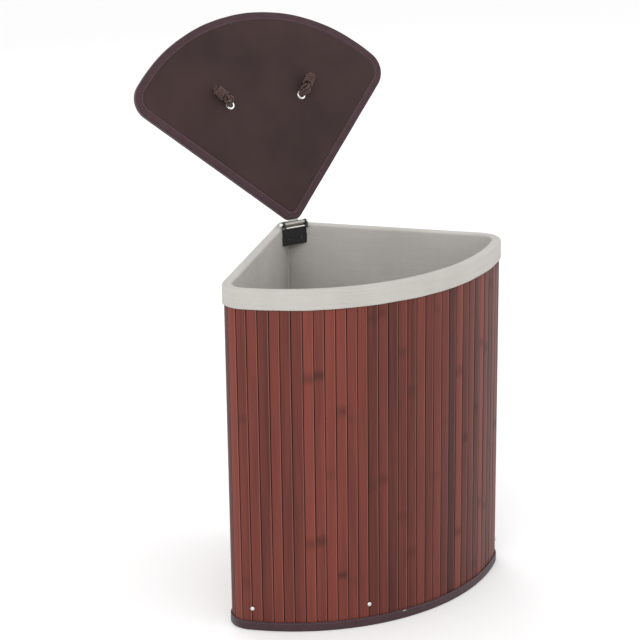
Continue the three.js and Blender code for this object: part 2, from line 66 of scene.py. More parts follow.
def addCamera():
    # forward from yaw and pitch, then right and up turned about it by the roll
    yaw, pitch, roll = view["yaw"], view["pitch"], view["roll"]
    forward = np.array([sin(yaw) * cos(pitch), cos(yaw) * cos(pitch), -sin(pitch)])
    level = np.array([cos(yaw), -sin(yaw), 0.0])
    down = np.cross(forward, level)
    right = level * cos(roll) + down * sin(roll)
    up = level * sin(roll) - down * cos(roll)
    data = bpy.data.cameras.new("hamperCamera")
    data.lens, data.sensor_width, data.sensor_fit = view["lens"], view["sensor"], "HORIZONTAL"
    data.clip_end = 50
    camera = bpy.data.objects.new("hamperCamera", data)
    axes = Matrix([list(right), list(up), list(-forward)]).transposed().to_4x4()
    camera.matrix_world = Matrix.Translation(view["place"]) @ axes
    bpy.context.scene.collection.objects.link(camera)
    bpy.context.scene.camera = camera


addCamera()

# the hamper's plan and sizes, as the frame has them, in metres

bodyPlan = {"depth": 0.378, "arcRadius": 0.3335, "cornerRadius": 0.036, "halfAngle": pi / 4,
            "apexY": 0.0, "apexRadius": 0.018, "flatHalf": 0.018 * tan(pi / 8)}
lidPlan = {"depth": 0.355, "arcRadius": 0.294, "cornerRadius": 0.036, "halfAngle": radians(46),
           "apexY": 0.0035, "apexRadius": 0.015, "flatHalf": 0.010}
rim = 0.555
apexOverhang = 1.75 * mm
shiftY = bodyPlan["apexRadius"] * (sqrt(2) - 1) + apexOverhang
hinge = {"pinBehind": 40 * mm, "pinAbove": 5 * mm, "openAngle": radians(115.5)}
hingePin = np.array([0, shiftY - hinge["pinBehind"], rim + hinge["pinAbove"]])
arcPoints = 160


def arcOf(centre, radius, start, end):
    # centre plus radius times (cos, sin), with the same (cos, sin) as the normal
    angle = np.linspace(start, end, arcPoints)
    normal = np.stack([np.cos(angle), np.sin(angle)], -1)
    return np.hstack([centre + radius * normal, normal])


def traceOutline(plan):
    # right half of the outline: front arc, corner arc, straight back, apex arc, flat end
    angle, apex = plan["halfAngle"], np.array([0, plan["apexY"]])
    normal, along = np.array([cos(angle), sin(angle)]), np.array([sin(angle), -cos(angle)])
    frontCentre = np.array([0, plan["apexY"] + plan["arcRadius"] - plan["depth"]])
    toStart = apex - plan["cornerRadius"] * normal - frontCentre
    half = toStart @ along
    inner = plan["arcRadius"] - plan["cornerRadius"]
    reach = sqrt(half ** 2 - toStart @ toStart + inner ** 2) - half
    cornerCentre = frontCentre + toStart + reach * along
    meet = atan2(*(cornerCentre - frontCentre)[::-1])
    flatY = plan["apexY"] - plan["flatHalf"] / tan(angle)
    turn = plan["apexRadius"] * tan((pi / 2 - angle) / 2)
    apexCentre = np.array([plan["flatHalf"] - turn, flatY - plan["apexRadius"]])
    table = np.vstack([
        arcOf(frontCentre, plan["arcRadius"], -pi / 2, meet),
        arcOf(cornerCentre, plan["cornerRadius"], meet, angle),
        arcOf(apexCentre, plan["apexRadius"], angle, pi / 2),
        [[0, flatY, 0, 1]],
    ])
    steps = np.hypot(*np.diff(table[:, :2], axis=0).T)
    keep = np.concatenate([[True], steps > 1e-9])
    table = table[keep]
    station = np.concatenate([[0], np.cumsum(steps[steps > 1e-9])])
    cornerMiddle = station[arcPoints - 1 + arcPoints // 2]
    return {"table": table, "station": station, "length": station[-1], "cornerAt": cornerMiddle}


def planAt(outline, station, offset=0.0):
    # point on the outline at a distance from the front's middle (plus is right), moved out by offset
    side = np.where(np.asarray(station) < 0, -1.0, 1.0)
    x, y, nx, ny = (np.interp(np.abs(station), outline["station"], c) for c in outline["table"].T)
    size = np.hypot(nx, ny)
    return side * (x + offset * nx / size), y + offset * ny / size, side * nx / size, ny / size


body, lid = traceOutline(bodyPlan), traceOutline(lidPlan)


def wallPoint(station, offset, height):
    # plan point of the body with its height, in the row frame
    station, offset, height = np.broadcast_arrays(station, offset, height)
    x, y, _, _ = planAt(body, station, offset)
    return np.stack([x, y + shiftY, height], -1)


def openLid(points):
    # a point of the closed lid, counted from the pin, turned open about X and put at the pin
    x, y, z = np.moveaxis(np.asarray(points, float), -1, 0)
    c, s = cos(-hinge["openAngle"]), sin(-hinge["openAngle"])
    return np.stack([x, y * c - z * s, y * s + z * c], -1) + hingePin


# mesh making

def surface(name, points, uv, wrap=(False, False), capped=False, closed=False, values=None, weld=False):
    # a grid of points (row, column, xyz), or several grids, made quads; uv is in metres and has one
    # row or column more where the grid wraps; capped shuts the two end rings with one face each
    points = np.asarray(points, float)
    points = points[None] if points.ndim == 3 else points
    count, rows, columns = points.shape[:3]
    uvRows, uvColumns = rows + wrap[0], columns + wrap[1]
    uv = np.broadcast_to(uv, (count, uvRows, uvColumns, 2))
    r, c = np.meshgrid(np.arange(uvRows - 1), np.arange(uvColumns - 1), indexing="ij")
    r, c = r.ravel(), c.ravel()
    rowIndex = np.stack([r, r, r + 1, r + 1], -1)
    columnIndex = np.stack([c, c + 1, c + 1, c], -1)
    quads = (rowIndex % rows) * columns + columnIndex % columns
    grid = np.arange(count)[:, None, None]
    faces = (quads[None] + grid * rows * columns).reshape(-1, 4)
    faceUv = uv[grid, rowIndex[None], columnIndex[None]].reshape(-1, 2)
    loops, starts = faces.ravel(), np.arange(len(faces)) * 4
    if capped:
        ring = np.arange(columns)
        ends = np.stack([ring[::-1], ring + (rows - 1) * columns])
        endFaces = ends[None] + grid * rows * columns
        endUv = np.stack([uv[:, 0, ring[::-1]], uv[:, -1, ring]], 1).reshape(-1, 2)
        starts = np.concatenate([starts, len(loops) + np.arange(2 * count) * columns])
        loops = np.concatenate([loops, endFaces.ravel()])
        faceUv = np.concatenate([faceUv, endUv])
    flat = points.reshape(-1, 3)
    if closed:
        a, b, d, e = (flat[faces[:, k]] for k in range(4))
        middle = flat.mean(0)
        volume = np.einsum("ij,ij->", a - middle, np.cross(b - a, d - a) + np.cross(d - a, e - a))
        if volume < 0:
            ends = np.append(starts[1:], len(loops))
            order = (starts + ends - 1).repeat(ends - starts) - np.arange(len(loops))
            loops, faceUv = loops[order], faceUv[order]
    mesh = bpy.data.meshes.new(name)
    mesh.vertices.add(len(flat))
    mesh.vertices.foreach_set("co", flat.ravel().astype(np.float32))
    mesh.loops.add(len(loops))
    mesh.polygons.add(len(starts))
    mesh.polygons.foreach_set("loop_start", starts.astype(np.int32))
    mesh.polygons.foreach_set("vertices", loops.astype(np.int32))
    mesh.polygons.foreach_set("use_smooth", np.ones(len(starts), bool))
    mesh.update(calc_edges=True)
    mesh.uv_layers.new(name="UVMap").data.foreach_set("uv", faceUv.ravel().astype(np.float32))
    for key, value in (values or {}).items():
        spread = np.broadcast_to(value, (count, rows, columns)).ravel().astype(np.float32)
        mesh.attributes.new(key, "FLOAT", "POINT").data.foreach_set("value", spread)
    if weld:
        work = bmesh.new()
        work.from_mesh(mesh)
        bmesh.ops.remove_doubles(work, verts=work.verts, dist=1e-7)
        work.to_mesh(mesh)
        work.free()
    mesh.validate()
    piece = bpy.data.objects.new(name, mesh)
    bpy.context.scene.collection.objects.link(piece)
    return piece


def finishPiece(piece, material, bodyName, nodes=(), sharp=None):
    piece.data.materials.clear()
    piece.data.materials.append(material)
    if sharp:
        piece.data.set_sharp_from_angle(angle=radians(sharp))
    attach(piece, bodyName)
    if nodes:
        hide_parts(*nodes)
    return piece


def thicken(piece, thickness):
    # half of the thickness on each side
    solid = piece.modifiers.new("thickness", "SOLIDIFY")
    solid.thickness, solid.offset, solid.use_even_offset = thickness, 0.0, True


def turned(name, profile, centres, axes, sides=32):
    # a profile of (radius, distance) turned about an axis through each centre
    profile = np.asarray(profile, float)
    centres, axes = np.atleast_2d(centres), np.atleast_2d(axes)
    helper = np.where(np.abs(axes[:, 2:3]) < 0.9, [[0.0, 0.0, 1.0]], [[1.0, 0.0, 0.0]])
    first = np.cross(axes, helper)
    first /= np.linalg.norm(first, axis=1, keepdims=True)
    second = np.cross(axes, first)
    angle = (np.arange(sides) * 2 * pi / sides)[None, :, None]
    ring = np.cos(angle) * first[:, None] + np.sin(angle) * second[:, None]
    points = (centres[:, None, None] + profile[None, :, None, None, 0] * ring[:, None]
              + profile[None, :, None, None, 1] * axes[:, None, None])
    length = np.concatenate([[0], np.cumsum(np.hypot(*np.diff(profile, axis=0).T))])
    turn = np.arange(sides + 1) / sides * 2 * pi * profile[:, 0].max()
    uv = np.stack(np.meshgrid(turn, length), -1)
    return surface(name, points, uv, wrap=(False, True), closed=True, weld=True)


def softCopy(node, name, width):
    # a frame node's own shape with its triangles merged and its sharper edges rounded
    sharpAngle = radians(35)
    work = bmesh.new()
    work.from_mesh(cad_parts[node].data)
    bmesh.ops.remove_doubles(work, verts=work.verts, dist=1e-6)
    bmesh.ops.dissolve_limit(work, angle_limit=radians(0.5), verts=work.verts, edges=work.edges)
    mesh = bpy.data.meshes.new(name)
    work.to_mesh(mesh)
    work.free()
    mesh.polygons.foreach_set("use_smooth", np.ones(len(mesh.polygons), bool))
    piece = bpy.data.objects.new(name, mesh)
    bpy.context.scene.collection.objects.link(piece)
    mesh.set_sharp_from_angle(angle=sharpAngle)
    bevel = piece.modifiers.new("edges", "BEVEL")
    bevel.width, bevel.segments, bevel.limit_method, bevel.angle_limit = width, 2, "ANGLE", sharpAngle
    return piece


def wander(x, seed):
    # smooth wander of one number: five sines with random lengths and phases, about -1 to 1
    rng = np.random.default_rng(seed)
    total = 0
    for k in range(5):
        total = total + np.sin(x * rng.uniform(0.6, 1.6) * (k + 1) + rng.uniform(0, 2 * pi)) / (k + 1)
    return total / 1.6


# shader making

class Signal:
    # a node socket that adds Math nodes when it is used in an expression
    def __init__(self, finish, socket):
        self.finish, self.socket = finish, socket

    def __add__(self, other):
        return self.finish.math("ADD", self, other)

    __radd__ = __add__

    def __sub__(self, other):
        return self.finish.math("SUBTRACT", self, other)

    def __rsub__(self, other):
        return self.finish.math("SUBTRACT", other, self)

    def __mul__(self, other):
        return self.finish.math("MULTIPLY", self, other)

    __rmul__ = __mul__

    def __truediv__(self, other):
        return self.finish.math("DIVIDE", self, other)

    def sine(self):
        return self.finish.math("SINE", self)

    def fraction(self):
        return self.finish.math("FRACT", self)

    def absolute(self):
        return self.finish.math("ABSOLUTE", self)

    def between(self, low, high):
        # 0 below low, 1 above high, smooth between
        return self.finish.node("ShaderNodeMapRange", {"interpolation_type": "SMOOTHSTEP"},
                                {"Value": self, "From Min": low, "From Max": high})


class Finish:
    # one material, whose nodes all come from node()
    def __init__(self, name, **constants):
        self.material = bpy.data.materials.new(name)
        self.material.use_nodes = True
        self.nodes, self.links = self.material.node_tree.nodes, self.material.node_tree.links
        self.shader = self.nodes["Principled BSDF"]
        for key, value in constants.items():
            self.shader.inputs[key.replace("_", " ")].default_value = value

    def node(self, kind, settings=None, sockets=None, out=0):
        made = self.nodes.new(kind)
        for key, value in (settings or {}).items():
            setattr(made, key, value)
        for key, value in (sockets or {}).items():
            if isinstance(value, Signal):
                self.links.new(value.socket, made.inputs[key])
            else:
                made.inputs[key].default_value = value
        return Signal(self, made.outputs[out])

    def math(self, operation, *values):
        return self.node("ShaderNodeMath", {"operation": operation}, dict(enumerate(values)))

    def mix(self, factor, first, second):
        # of the mix node's sockets, 6 and 7 are the two colours and output 2 the mixed one
        first, second = ((*color, 1) if isinstance(color, tuple) else color for color in (first, second))
        return self.node("ShaderNodeMix", {"data_type": "RGBA"}, {0: factor, 6: first, 7: second}, out=2)

    def place(self):
        return self.node("ShaderNodeTexCoord", out="Object")

    def uv(self):
        return self.node("ShaderNodeUVMap", {"uv_map": "UVMap"})

    def split(self, vector):
        parts = self.node("ShaderNodeSeparateXYZ", None, {0: vector})
        return [Signal(self, parts.socket.node.outputs[k]) for k in range(3)]

    def attribute(self, name):
        return self.node("ShaderNodeAttribute", {"attribute_name": name}, out="Fac")

    def stretched(self, vector, scale):
        return self.node("ShaderNodeMapping", None, {"Vector": vector, "Scale": scale})

    def noise(self, vector, scale, detail=3.0, rough=0.5):
        return self.node("ShaderNodeTexNoise", None,
                         {"Vector": vector, "Scale": scale, "Detail": detail, "Roughness": rough})

    def bump(self, height, depth, strength):
        return self.node("ShaderNodeBump", None, {"Height": height, "Distance": depth, "Strength": strength})

    def set(self, **wires):
        for key, value in wires.items():
            self.links.new(value.socket, self.shader.inputs[key.replace("_", " ")])
        return self.material


print("tools ready")

# finishes

def slatStain(name, light, dark):
    # stained bamboo: a tone for each slat, fine long grain, soft dark node marks, a painted highlight line
    # near the slat's right edge, painted groove shade on the slat's edges, thin lacquer
    nodeSpacing, paintedHighlight = 0.27, (0.25, 0.105, 0.085)
    f = Finish(name, Coat_Weight=0.03, Coat_Roughness=0.35, Specular_IOR_Level=0.28)
    place = f.place()
    across, along, _ = f.split(f.uv())
    fine = f.noise(f.stretched(place, (520, 520, 9)), 1.0, 4.0, 0.6)
    broad = f.noise(f.stretched(place, (95, 95, 3.2)), 1.0, 3.0, 0.55)
    blotch = f.noise(place, 38.0, 3.0, 0.6)
    level = (f.attribute("slatTone") * 0.72 + broad * 0.55 + fine * 0.55 - 0.41).between(0.0, 1.0)
    base = f.mix(level, dark, light)
    strength = f.attribute("nodeStrength")
    spot = (((along + f.attribute("nodePhase")) / nodeSpacing).fraction() - 0.5).absolute()
    mark = (1 - (spot + (blotch - 0.5) * 0.05).between(0.004, 0.055)) * strength
    ring = (1 - spot.between(0.0, 0.004)) * strength
    darkMark = tuple(c * 0.5 for c in dark)
    marked = f.mix(mark * (blotch * 1.2 - 0.1) * 0.95, base, darkMark)
    marked = f.mix(ring * 0.25, marked, darkMark)
    # painted highlight: a pale band near the slat's right edge, standing in for light on the edge's bevel
    pale = across.between(0.86, 0.93) * (1 - across.between(0.95, 0.99))
    marked = f.mix(pale * 0.5, marked, paintedHighlight)
    # painted shade: the slat's edges darkened as if in the shade of the grooves between slats
    edge = (across - 0.5).absolute().between(0.455, 0.5)
    f.set(Base_Color=f.mix(edge * 0.6, marked, tuple(c * 0.4 for c in dark)),
          Roughness=0.46 + fine * 0.14 + mark * 0.06)
    return f.set(Normal=f.bump(fine * 0.6 + broad * 0.5 + ring * 1.5, 0.00012, 0.7))


def wovenCloth(name, light, dark, thread, depth, slub=0.3):
    # plain weave from two crossed sines of the cloth's own uv, slubs along the weft, soft mottling
    f = Finish(name, Roughness=0.92, Sheen_Weight=0.15, Sheen_Roughness=0.5, Specular_IOR_Level=0.2)
    uv = f.uv()
    across, down, _ = f.split(uv)
    warp, weft = (across * (2 * pi / thread)).sine(), (down * (2 * pi / thread)).sine()
    weave = warp * weft * 0.5 + 0.5
    slubs = f.noise(f.stretched(uv, (9, 620, 1)), 1.0, 3.0, 0.6)
    picks = f.noise(f.stretched(uv, (1500, 40, 1)), 1.0, 2.0, 0.5)
    mottle = f.noise(f.place(), 14.0, 4.0, 0.55)
    shade = (slubs * slub + picks * slub * 0.4 + mottle * 0.5 + weave * 0.22 - 0.2).between(0.0, 1.0)
    f.set(Base_Color=f.mix(shade, dark, light))
    return f.set(Normal=f.bump(weave * 0.5 + slubs * 0.5 + picks * 0.2, depth, 0.6))


def twillTape(name, light, dark):
    # cotton tape: a fine diagonal rib, paler along the ribs, a little mottled
    f = Finish(name, Roughness=0.88, Sheen_Weight=0.2, Sheen_Roughness=0.45, Specular_IOR_Level=0.25)
    across, down, _ = f.split(f.uv())
    rib = ((across + down) * (2 * pi / 0.0011)).sine() * 0.5 + 0.5
    mottle = f.noise(f.place(), 60.0, 4.0, 0.6)
    f.set(Base_Color=f.mix((rib * 0.45 + mottle * 0.75 - 0.1).between(0.0, 1.0), dark, light))
    return f.set(Normal=f.bump(rib + mottle * 0.4, 0.00018, 0.7))


def backingFelt(name, light, dark):
    # non-woven lining: pressed fibres with a fine dimple and very soft clouding
    f = Finish(name, Sheen_Weight=0.06, Sheen_Roughness=0.6, Specular_IOR_Level=0.14)
    place = f.place()
    fibre = f.noise(place, 900.0, 3.0, 0.7)
    cloud = f.noise(place, 9.0, 3.0, 0.5)
    f.set(Base_Color=f.mix((cloud * 0.9 + fibre * 0.3 - 0.1).between(0.1, 0.9), dark, light),
          Roughness=0.72 + cloud * 0.12)
    return f.set(Normal=f.bump(fibre, 0.00012, 0.5))


def pressedBoard(name, light, dark):
    # fibreboard: speckled fibres and faint flow
    f = Finish(name, Specular_IOR_Level=0.3)
    place = f.place()
    speck, flow = f.noise(place, 700.0, 4.0, 0.7), f.noise(f.stretched(place, (20, 60, 60)), 1.0)
    f.set(Base_Color=f.mix((speck * 0.6 + flow * 0.5).between(0.2, 0.9), dark, light),
          Roughness=0.7 + speck * 0.2)
    return f.set(Normal=f.bump(speck, 0.00015, 0.5))


def metal(name, color, roughness, scratch, metallic=1.0, worn=None):
    # plated or lacquered steel: fine scratches in the roughness, and bare patches where worn is a colour
    f = Finish(name, Metallic=metallic)
    place = f.place()
    lines, patch = f.noise(f.stretched(place, (300, 4000, 4000)), 1.0, 2.0), f.noise(place, 160.0, 5.0, 0.65)
    wear = patch.between(0.60, 0.70)
    base = f.mix(wear * 0.6, color, worn) if worn else f.mix(patch, color, tuple(c * 0.82 for c in color))
    f.set(Base_Color=base, Roughness=roughness + lines * scratch + patch * 0.08)
    return f.set(Normal=f.bump(lines + patch * 0.5, 0.00003, 0.6))


def ropeFibre(name, light, dark, pitch):
    # twisted cord: fibres that run slantwise in the cord's own uv, with painted shade between the yarns
    f = Finish(name, Roughness=0.9, Sheen_Weight=0.25, Sheen_Roughness=0.5, Specular_IOR_Level=0.2)
    around, along, _ = f.split(f.uv())
    yarn = ((around * 1.6 + along) * (2 * pi / pitch)).sine() * 0.5 + 0.5
    hair = f.noise(f.place(), 1300.0, 3.0, 0.7)
    # painted shade: the colour darkens between the yarns, where the cord's crevices lie
    f.set(Base_Color=f.mix((yarn * 0.55 + hair * 0.6 - 0.1).between(0.0, 1.0), dark, light))
    return f.set(Normal=f.bump(yarn + hair * 0.6, 0.00025, 0.8))


bamboo = slatStain("bamboo_red_brown", (0.172, 0.0325, 0.0205), (0.029, 0.0040, 0.0024))
linen = wovenCloth("linen_off_white", (0.505, 0.488, 0.462), (0.35, 0.335, 0.308), 0.0009, 0.0003, 0.55)
lining = backingFelt("lid_lining_brown", (0.050, 0.0275, 0.0265), (0.021, 0.0110, 0.0108))
tape = twillTape("tape_purple_brown", (0.068, 0.034, 0.042), (0.032, 0.016, 0.020))
backing = wovenCloth("backing_cloth", (0.075, 0.035, 0.028), (0.03, 0.014, 0.012), 0.0012, 0.0003)
board = pressedBoard("fibreboard", (0.42, 0.29, 0.18), (0.27, 0.17, 0.10))
steel = metal("bright_steel", (0.80, 0.80, 0.79), 0.16, 0.14)
dullSteel = metal("dull_steel", (0.40, 0.39, 0.34), 0.28, 0.16)
blackSteel = metal("black_lacquer", (0.012, 0.012, 0.014), 0.34, 0.12, 0.0, (0.10, 0.095, 0.09))
cordBrown = ropeFibre("cord_brown", (0.115, 0.052, 0.037), (0.026, 0.012, 0.009), 0.0016)
thread = ropeFibre("thread_brown", (0.24, 0.15, 0.165), (0.11, 0.068, 0.076), 0.0006)
paleThread = ropeFibre("thread_off_white", (0.74, 0.72, 0.69), (0.52, 0.50, 0.46), 0.0006)
print("finishes ready")

# slat curtain

slats = {
    "pitch": 16.7 * mm, "front": 38, "back": 19, "gap": 0.8 * mm, "thickness": 2.25 * mm,
    "crown": 0.16 * mm, "edge": 0.6 * mm, "bottom": 1.9 * mm, "top": rim - 3.8 * mm, "rows": 40,
    "widthPlay": 0.4 * mm, "depthPlay": 0.25 * mm, "endPlay": 0.8 * mm, "sway": 0.12 * mm,
    "setBack": 0.05 * mm, "deepest": 2.55 * mm, "sideGap": 0.3 * mm,
}


def slatSection():
    # across from -1 to 1 and depth: a slightly crowned face, rounded edges, a flat back
    face = np.array([-1, -0.98, -0.95, -0.91, -0.6, -0.2, 0.2, 0.6, 0.91, 0.95, 0.98, 1])
    depth = slats["crown"] * face ** 2 + slats["edge"] * (np.clip(np.abs(face) - 0.9, 0, 1) / 0.1) ** 2
    rear = np.array([1, 0.4, -0.4, -1])
    return np.append(face, rear), np.append(depth, np.full(4, slats["thickness"]))


def slatValues(rng, count):
    # tone, and how strong and where the node marks are, for each slat
    strength = np.clip(rng.normal(0.35, 0.42, count), 0.08, 1.0)
    return {"slatTone": rng.beta(2.2, 2.0, count)[:, None, None], "nodeStrength": strength[:, None, None],
            "nodePhase": rng.uniform(0, 1, count)[:, None, None]}


def slatSides(edges):
    # left and right side of each slat from the lines between them, half a gap in
    inset = slats["gap"] / 2
    return (edges[:-1] + inset)[:, None, None], (edges[1:] - inset)[:, None, None]


def slatPanel(name, first, last, count, seed):
    # upright slats between two stations, each with its own width, ends, depth and slight sway
    rng = np.random.default_rng(seed)
    edges = np.linspace(first, last, count + 1)
    edges[1:-1] += rng.uniform(-1, 1, count - 1) * slats["widthPlay"]
    low, high = slatSides(edges)
    across, depth = slatSection()
    share = np.linspace(0, 1, slats["rows"])[None, :, None]
    ends = rng.uniform(0, 1, (2, count))[:, :, None, None] * slats["endPlay"]
    height = (slats["bottom"] + ends[0]) * (1 - share) + (slats["top"] - ends[1]) * share
    waves = rng.uniform(3, 9, count)[:, None, None]
    sway = slats["sway"] * np.sin(share * waves + rng.uniform(0, 6, count)[:, None, None])
    station = (low + high) / 2 + (high - low) / 2 * across + sway
    sunk = rng.uniform(0, 1, count)[:, None, None] * slats["depthPlay"] + slats["setBack"]
    offset = np.maximum(-depth - sunk + sway * 0.5, -slats["deepest"])
    points = wallPoint(station, offset, height)
    u = np.append(across, across[0]) * 0.5 + 0.5
    uv = np.stack(np.broadcast_arrays(u, height), -1)
    return surface(name, points, uv, wrap=(False, True), capped=True, closed=True,
                   values=slatValues(rng, count))


frontHalf = slats["pitch"] * slats["front"] / 2
backFrom, backTo = frontHalf + slats["sideGap"], body["length"] - slats["sideGap"]
panels = {  # first and last station, slats, seed
    "front": (-frontHalf, frontHalf, slats["front"], 11),
    "back_left": (-backTo, -backFrom, slats["back"], 12),
    "back_right": (backFrom, backTo, slats["back"], 13),
}
for place, numbers in panels.items():
    panel = slatPanel(place + "_slats", *numbers)
    finishPiece(panel, bamboo, "body", [place + "_slat_panel"], sharp=40)
print("slats made")

# rivets

rivets = {
    "head": 3.4 * mm, "dome": 1.75 * mm, "dimple": 0.8 * mm, "rim": 0.25 * mm, "seat": 0.3 * mm,
    "shank": 2 * mm, "depth": 18 * mm, "height": 36 * mm,
    "front": {"front_left": -15, "front_middle": -4, "front_right": 16},  # grooves from the front's middle
    "back": (90 * mm, 250 * mm),  # distances from the back corner
}


def rivetProfile():
    # (radius, distance): flat end, shank, underside of the head, then a dome with a dimple in its middle
    head, shank, seat = rivets["head"], rivets["shank"], rivets["seat"]
    quarter = np.linspace(0, pi / 2, 12)
    radius = head * np.cos(quarter)
    top = seat + rivets["rim"] + rivets["dome"] * np.sin(quarter) ** 0.9
    top = top - rivets["dimple"] * np.exp(-(radius / (0.3 * head)) ** 2)
    lower = [[0, -rivets["depth"]], [shank, -rivets["depth"]], [shank, seat], [head, seat]]
    return np.vstack([lower, np.stack([radius, top], -1)])


wallEnd = body["length"] - bodyPlan["apexRadius"] * pi / 4 + bodyPlan["apexRadius"]
stations = {key: groove * slats["pitch"] for key, groove in rivets["front"].items()}
for index, distance in enumerate(rivets["back"]):
    stations[f"back_right_{index + 1}"] = wallEnd - distance
    stations[f"back_left_{index + 1}"] = distance - wallEnd
profile = rivetProfile()
for place, station in stations.items():
    x, y, nx, ny = planAt(body, station)
    made = turned("rivet_" + place, profile, [x, y + shiftY, rivets["height"]], [nx, ny, 0])
    finishPiece(made, steel, "body", ["base_rivet_" + place], sharp=50)
print("rivets made")

# pieces swept round the wall

aroundCount = 560
around = -body["length"] + 2 * body["length"] * np.arange(aroundCount) / aroundCount


def swept(name, section, change, closed=True, stations=around, outline=body, place=wallPoint):
    # a section of (offset, height) carried round the whole outline; change(station, length along the
    # section) gives extra (offset, height)
    step = np.hypot(*np.diff(np.vstack([section, section[:1]]) if closed else section, axis=0).T)
    run = np.concatenate([[0], np.cumsum(step)])
    more = change(stations[:, None], run[None, :len(section)])
    points = place(stations[:, None], section[None, :, 0] + more[0], section[None, :, 1] + more[1])
    line = np.append(stations, stations[0] + 2 * outline["length"])
    uv = np.stack(np.broadcast_arrays(line[:, None], run[None, :]), -1)
    return surface(name, points, uv, wrap=(True, closed), closed=closed)


def rounded(corners, radius, count=5):
    # a polygon with each corner (x, y, own radius or None) turned to an arc of count points
    corners = [(c + (radius,))[:3] for c in corners]
    out = []
    for k, (x, y, r) in enumerate(corners):
        here = np.array([x, y])
        back = np.array(corners[k - 1][:2]) - here
        ahead = np.array(corners[(k + 1) % len(corners)][:2]) - here
        back, ahead = back / np.linalg.norm(back), ahead / np.linalg.norm(ahead)
        if not r:
            out.append(here)
            continue
        lean = sqrt(max(1e-9, (1 + back @ ahead) / 2))
        reach = r * lean / sqrt(max(1e-9, 1 - lean ** 2))
        t = np.linspace(0, 1, count)[:, None]
        a, b = here + back * reach, here + ahead * reach
        out.extend(a * (1 - t) ** 2 + here * 2 * t * (1 - t) + b * t ** 2)
    return np.array(out)


def stitches(name, points, directions, normals, length, radius, material, bodyName):
    # one small thread loop at each point: a bead along its direction that dives at both ends
    points, directions, normals = (np.asarray(a, float) for a in (points, directions, normals))
    side = np.cross(directions, normals)
    t = np.linspace(-1, 1, 5)
    width = radius * np.sqrt(1 - 0.75 * t ** 2)
    lift = radius * (0.45 - 0.9 * t ** 2)
    angle = (np.arange(6) * pi / 3)[:, None]
    ring = np.cos(angle) * normals[:, None, None] + np.sin(angle) * side[:, None, None]
    grid = (points[:, None, None] + (t * length / 2)[None, :, None, None] * directions[:, None, None]
            + lift[None, :, None, None] * normals[:, None, None] + width[None, :, None, None] * ring)
    uv = np.stack(np.meshgrid(np.arange(7) * radius, t * length / 2), -1)
    made = surface(name, grid, uv, wrap=(False, True), capped=True, closed=True)
    finishPiece(made, material, bodyName)


def stitchRow(name, pitch, offset, height, length, radius, material):
    # stitches that follow the wall's outside at one offset and height
    count = int(2 * body["length"] / pitch)
    station = -body["length"] + 2 * body["length"] * (np.arange(count) + 0.5) / count
    x, y, nx, ny = planAt(body, station, offset)
    flat = np.zeros(count)
    points = np.stack([x, y + shiftY, flat + height], -1)
    directions, normals = np.stack([-ny, nx, flat], -1), np.stack([nx, ny, flat], -1)
    stitches(name, points, directions, normals, length, radius, material, "body")


# bottom binding: tape folded under the curtain, pulled in at each stitch, lapped at the left corner
binding = {"top": 14.8 * mm, "outer": 1.8 * mm, "inner": -5.0 * mm, "tape": 1.5 * mm, "stitch": 4.2 * mm,
           "lapFrom": -305 * mm, "lapTo": -267 * mm, "lapHeight": 0.7 * mm}


def bindingSection():
    outer, inner, top, wall = binding["outer"], binding["inner"], binding["top"], binding["tape"]
    return rounded([
        (outer, 0, 1.2 * mm), (outer, top / 3, 0), (outer, top * 2 / 3, 0), (outer, top, 0.6 * mm),
        (outer - wall, top, 0.5 * mm), (outer - wall, wall, 0.3 * mm), (inner + 1.2 * mm, wall, 0.3 * mm),
        (inner + 1.2 * mm, top, 0.5 * mm), (inner, top, 0.6 * mm), (inner, top / 2, 0), (inner, 0, 1.2 * mm),
    ], 0.5 * mm, 4)


def bindingPucker(station, run):
    # only the outer leg moves: cosine puckers at the stitch pitch and a slow wander
    outerLeg = np.clip(1 - run / (17 * mm), 0, 1) * np.clip(run / (3 * mm), 0, 1)
    wave = -0.10 * mm * (1 + np.cos(station * 2 * pi / binding["stitch"])) * outerLeg
    wave = wave + 0.18 * mm * wander(station * 60, 5) * outerLeg
    begins = np.clip((station - binding["lapFrom"]) / (3 * mm), 0, 1)
    ends = np.clip((binding["lapTo"] - station) / (1.5 * mm), 0, 1)
    lap = binding["lapHeight"] * begins * ends
    return wave + lap * outerLeg, 0.25 * mm * wander(station * 45, 6) * (run > 8 * mm) * (run < 18 * mm)


made = swept("bottom_tape", bindingSection(), bindingPucker)
finishPiece(made, tape, "body", ["bottom_binding"])
stitchRow("bottom_tape_stitches", binding["stitch"], binding["outer"] - 0.12 * mm,
          binding["top"] - 2.4 * mm, 3.0 * mm, 0.28 * mm, thread)

staple = softCopy("binding_staple", "tape_staple", 0.3 * mm)
finishPiece(staple, steel, "body", ["binding_staple"])
print("bottom binding made")

# cloth liner: one sheet, hemmed outside, over the rim and down inside

liner = {"hem": rim - 29.5 * mm, "outside": 2.0 * mm, "inside": -12.4 * mm, "thickness": 1.0 * mm,
         "foot": 42.8 * mm, "round": 2.4 * mm, "seamAt": 10 * mm, "stitch": 3.4 * mm,
         "floorAt": 41.4 * mm, "floorInset": 12.0 * mm, "floorThickness": 0.9 * mm}
# pleats: place as a share of the front corner's, then height and half width in mm
pleats = ((-1.02, 4.2, 5.0), (-0.93, 2.6, 6.5), (-1.10, 2.8, 5.0),
          (1.0, 4.0, 5.0), (1.07, 2.4, 6.0), (0.92, 2.4, 5.5))


